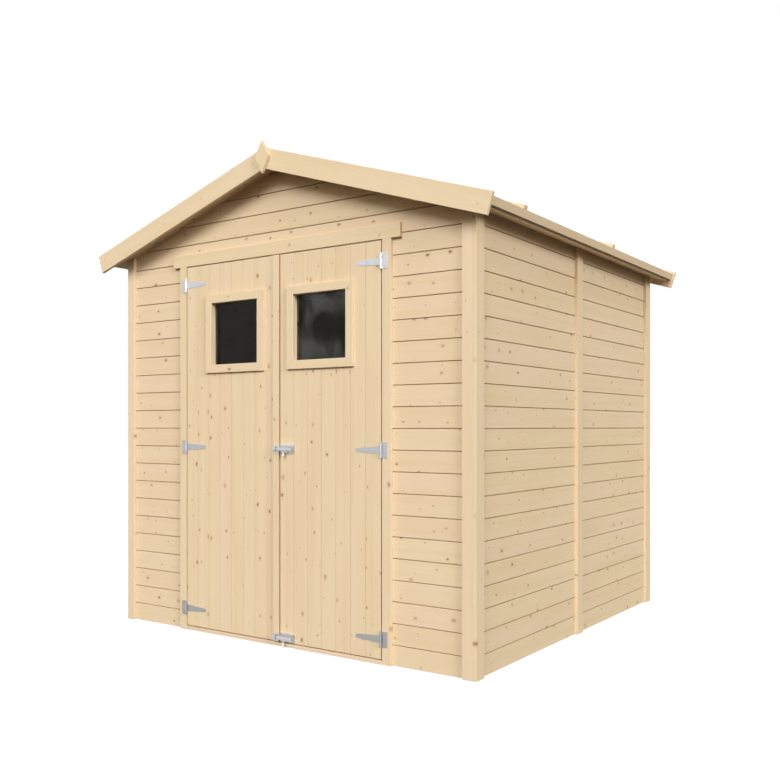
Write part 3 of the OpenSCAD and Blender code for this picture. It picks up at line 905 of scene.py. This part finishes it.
def model_screw():
    """A screw head with its underside at Y = 0, looking against Y."""
    bpy.ops.object.select_all(action="DESELECT")
    bpy.ops.mesh.primitive_cylinder_add(vertices=20, radius=HEAD_RADIUS, depth=HEAD_HEIGHT,
                                        location=(0, -HEAD_HEIGHT / 2, 0), rotation=(math.pi / 2, 0, 0))
    head = bpy.context.object
    bpy.ops.object.transform_apply(location=True, rotation=True, scale=True)
    edit_faces(head, lambda middle, normal: normal.y < -0.9)
    bpy.ops.mesh.bevel(offset=HEAD_HEIGHT * 0.6, segments=2)
    back_to_object()
    for turned in (False, True):
        bpy.ops.object.select_all(action="DESELECT")
        long_side, short_side = (HEAD_RADIUS * share for share in CROSS)
        size = (short_side, HEAD_HEIGHT, long_side) if turned else (long_side, HEAD_HEIGHT, short_side)
        bpy.ops.mesh.primitive_cube_add(size=1, location=(0, -HEAD_HEIGHT, 0), scale=size)
        bar = bpy.context.object
        apply_modifier(head, "BOOLEAN", operation="DIFFERENCE", object=bar, solver="EXACT")
        bpy.data.objects.remove(bar)
    smooth(head, 30)
    print("screw head:", len(head.data.polygons), "faces")
    return head


screw = model_screw()


def drive_screws(name, places, body, slot):
    """Screw heads at a list of places, joined into one piece."""
    heads = []
    for index, place in enumerate(places):
        head = add_object(name, screw.data.copy())
        turn = Matrix.Rotation(random.Random(f"{name} {index}").uniform(0, math.pi), 4, "Y")
        head.data.transform(Matrix.Translation(place) @ turn)
        heads.append(head)
    piece = join(name, heads)
    give_material(piece, zinc)
    finish_piece(piece, body, slot)
    print(name, "-", len(heads), "screws")


# %% Put the screws in


def part_boxes(node):
    """The box of each loose part of a node, as (low, high) pairs."""
    boxes = []
    for part in loose_parts(clean_copy(node, "measure")):
        corners = np.array([v.co for v in part.data.vertices], float)
        boxes.append((Vector(corners.min(0)), Vector(corners.max(0))))
        bpy.data.objects.remove(part)
    return boxes


hinge_joints = {joint["child"]: Vector(joint["pos_m"]) for joint in frame["joints"]
                if joint["type"] == "hinge"}
leaf_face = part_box("door_left_leaf")[0].y
METAL = 0.002                     # thickness of the hinge plates and of the housings' plates
STRAP_SCREWS = (0.026, 0.062, 0.108)                # from the pin
PLATE_SCREWS = ((0.018, 0.022), (0.018, -0.022))    # from the pin, and up from the middle

plate_places = []
for side, body in ((1, "door_left"), (-1, "door_right")):
    pin = hinge_joints[body]
    strap_places = []
    for low, high in part_boxes(f"{body}_hinge_straps"):
        middle = (low.z + high.z) / 2
        for distance in STRAP_SCREWS:
            strap_places.append(Vector((pin.x + side * distance, leaf_face - METAL, middle)))
        for distance, rise in PLATE_SCREWS:
            plate_places.append(Vector((pin.x - side * distance, leaf_face - METAL, middle + rise)))
    drive_screws(f"{body}_strap_screws", strap_places, body, "hinge_metal")
drive_screws("plate_screws", plate_places, "shed", "hinge_metal")

HOUSING_INSET = 0.006             # of the screws, from the edges of a housing's plate
housing_places = []
for low, high in part_boxes("door_right_bolt_housings"):
    for x in (low.x + HOUSING_INSET, high.x - HOUSING_INSET):
        for z in (low.z + HOUSING_INSET, high.z - HOUSING_INSET):
            housing_places.append(Vector((x, leaf_face - METAL, z)))
drive_screws("housing_screws", housing_places, "door_right", "bolt_metal")
bpy.data.objects.remove(screw)

# %% [markdown]
# ## Window panes
#
# The panes are thin clear sheets over a dark room, so they look nearly black with a soft
# reflection. A black gloss would do from outside, but an open door shows the pane against the
# light. So the solid keeps its shape and gets real glass. Its roughness is a little uneven, like
# glass that was wiped once, and one pane has dull patches where it has weathered.

# %% Glass
SHEET_IOR = 1.22                  # lower than real glass, so that less of the white studio shows
SMEARS = (7.0, 7.0, 11.0)         # cells a metre on X, Y and Z
PATCHES = (9.0, 9.0, 7.0)
CLEAR_TINT = (0.50, 0.50, 0.47, 1)
SMEARED_TINT = (0.34, 0.34, 0.32, 1)
WEATHERING = {"door_left_pane": 0.0, "door_right_pane": 0.9}


def glass_material(name, weathered):
    """Glass with smears, and with soft patches of haze that reflect a little more."""
    material, tree, shader = new_material(name)
    shader.inputs["Transmission Weight"].default_value = 1.0
    shader.inputs["IOR"].default_value = SHEET_IOR
    shader.inputs["Coat Roughness"].default_value = 0.25
    place = add_node(tree, "ShaderNodeTexCoord")
    smears = noise(tree, place.outputs["Object"], SMEARS, detail=3.0)
    patches = noise(tree, place.outputs["Object"], PATCHES, detail=4.0)
    link(tree, remap(tree, smears, 0.35, 0.7, 0.02, 0.14), shader.inputs["Roughness"])
    link(tree, remap(tree, patches, 0.42, 0.66, 0.0, weathered), shader.inputs["Coat Weight"])
    tint = blend_colours(tree, smears, CLEAR_TINT, SMEARED_TINT)
    link(tree, tint, shader.inputs["Base Color"])
    return material


for node, weathered in WEATHERING.items():
    give_material(frame["nodes"][node], glass_material(f"{node} glass", weathered))
    print("glass in", node)

# %% [markdown]
# ## Studio
#
# The shed stands on a pale floor in front of a white background. The world gives soft, warm light
# from all round. One large lamp lights the front from above, a lower one lights the side, so that
# the shadow under the eaves stays short, and a third lights the back and the other side. A white
# background could come from strong light, but that would bleach the wood. So the rays that are
# seen, which are those of the camera, of gloss and of glass, are told apart from the light on the
# shed, and only they see white.

# %% World
WHITE = (1, 1, 1, 1)
SKY_TINT = (1.0, 0.85, 0.62, 1)
ZENITH_LIGHT = 0.22
HORIZON_LIGHT = 0.62              # what the sky gains from straight up to the horizon


def seen_directly(tree):
    """1 for the rays of the camera, of gloss and of glass, and 0 for the light on the shed."""
    path = add_node(tree, "ShaderNodeLightPath")
    total = maths(tree, "ADD", path.outputs["Is Camera Ray"], path.outputs["Is Glossy Ray"])
    total = maths(tree, "ADD", total, path.outputs["Is Transmission Ray"])
    return maths(tree, "MINIMUM", total, 1.0)


world = bpy.context.scene.world or bpy.data.worlds.new("studio")
bpy.context.scene.world = world
world.use_nodes = True
tree = world.node_tree
background = tree.nodes["Background"]
place = add_node(tree, "ShaderNodeTexCoord")
way = add_node(tree, "ShaderNodeSeparateXYZ", {"Vector": place.outputs["Generated"]})
rise = maths(tree, "MAXIMUM", way.outputs["Z"], 0.0)
low = maths(tree, "POWER", maths(tree, "SUBTRACT", 1.0, rise), 2.0)
sky = maths(tree, "ADD", maths(tree, "MULTIPLY", low, HORIZON_LIGHT), ZENITH_LIGHT)
seen = seen_directly(tree)
link(tree, blend_colours(tree, seen, SKY_TINT, WHITE), background.inputs["Color"])
link(tree, remap(tree, seen, 0.0, 1.0, sky, 1.0), background.inputs["Strength"])
print("sky:", ZENITH_LIGHT, "overhead and", round(ZENITH_LIGHT + HORIZON_LIGHT, 2), "at the horizon")

# %% Lamps
LAMP_COLOUR = (0.98, 1, 1.05)


def far_lamp(name, place, angle, strength):
    """A large soft lamp so far off that it lights the whole shed evenly."""
    bpy.ops.object.light_add(type="SUN", location=place)
    lamp = bpy.context.object
    lamp.name = name
    lamp.data.angle = math.radians(angle)
    lamp.data.energy = strength
    lamp.data.color = LAMP_COLOUR
    lamp.rotation_euler = (-lamp.location).to_track_quat("-Z", "Y").to_euler()
    print(name, "shines from", place)


far_lamp("front_lamp", (1.5, -9, 5.4), angle=30, strength=2.58)
far_lamp("side_lamp", (9, -3, 3.4), angle=24, strength=2.16)
far_lamp("back_lamp", (-5, 8, 2.5), angle=36, strength=1.8)

# %% [markdown]
# ## Floor
#
# A real studio has a white sweep. A large white floor would throw its light up under the eaves and
# turn the ground inside the shed into a lamp, so the floor's paint is dark for the light on the
# shed. It is pale only to rays that are seen, and outside the walls a glow lifts it to the white of
# the background. Inside the walls it is plain grey ground.

# %% Floor
FLOOR_SIZE = 80
UNDER_WALLS = 0.008               # the grey ground reaches this far from the walls' outer faces
UNSEEN_PAINT = (0.02, 0.02, 0.02, 1)
SEEN_PAINT = (0.82, 0.82, 0.82, 1)
GROUND = (0.42, 0.41, 0.39, 1)
GLOW = 1.12
GLOW_SHARE = 0.82                 # of what is seen outdoors, and the paint is the rest

bpy.ops.object.select_all(action="DESELECT")
bpy.ops.mesh.primitive_plane_add(size=FLOOR_SIZE, location=(0, 0, 0))
floor = bpy.context.object
floor.name = "floor"
floor_material, tree, shader = new_material("pale floor")
tree.nodes.remove(shader)
seen = seen_directly(tree)
place = add_node(tree, "ShaderNodeTexCoord")
way = add_node(tree, "ShaderNodeSeparateXYZ", {"Vector": place.outputs["Object"]})
back_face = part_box("back_wall")[1].y
within = [maths(tree, "LESS_THAN", maths(tree, "ABSOLUTE", way.outputs[axis]), face - UNDER_WALLS)
          for axis, face in (("X", side_high.x), ("Y", back_face))]
indoors = maths(tree, "MULTIPLY", *within)
outdoors = blend_colours(tree, seen, UNSEEN_PAINT, SEEN_PAINT)
paint = add_node(tree, "ShaderNodeBsdfDiffuse", {"Color": blend_colours(tree, indoors, outdoors, GROUND)})
glow = add_node(tree, "ShaderNodeEmission", {"Color": WHITE, "Strength": GLOW})
glowing = maths(tree, "MAXIMUM", maths(tree, "SUBTRACT", seen, indoors), 0.0)
mix = add_node(tree, "ShaderNodeMixShader", {0: maths(tree, "MULTIPLY", glowing, GLOW_SHARE),
                                             1: paint.outputs[0], 2: glow.outputs[0]})
link(tree, mix.outputs[0], tree.nodes["Material Output"].inputs["Surface"])
give_material(floor, floor_material)
print("walls from the middle:", round(side_high.x, 3), "and", round(back_face, 3))

# %% [markdown]
# ## Camera
#
# The camera stands level in front of the right corner, at chest height. It could be tilted up to
# take in the roof, but a level camera keeps uprights upright, so a small vertical shift puts the
# shed where it belongs in the frame.

# %% Camera
EYE = (2.7037, -4.0109, 0.9716)
LEFTWARD = 34.866                 # degrees from looking straight back
FOCAL_LENGTH = 41.88              # in millimetres, on a sensor 36 wide

bpy.ops.object.camera_add(location=EYE, rotation=(math.radians(90), 0, math.radians(LEFTWARD)))
camera = bpy.context.object
camera.data.sensor_width = 36
camera.data.lens = FOCAL_LENGTH
camera.data.shift_x = 0.0029
camera.data.shift_y = 0.0471
camera.data.clip_end = 200
bpy.context.scene.camera = camera
bpy.context.scene.view_settings.view_transform = "Standard"
print("camera at", EYE)
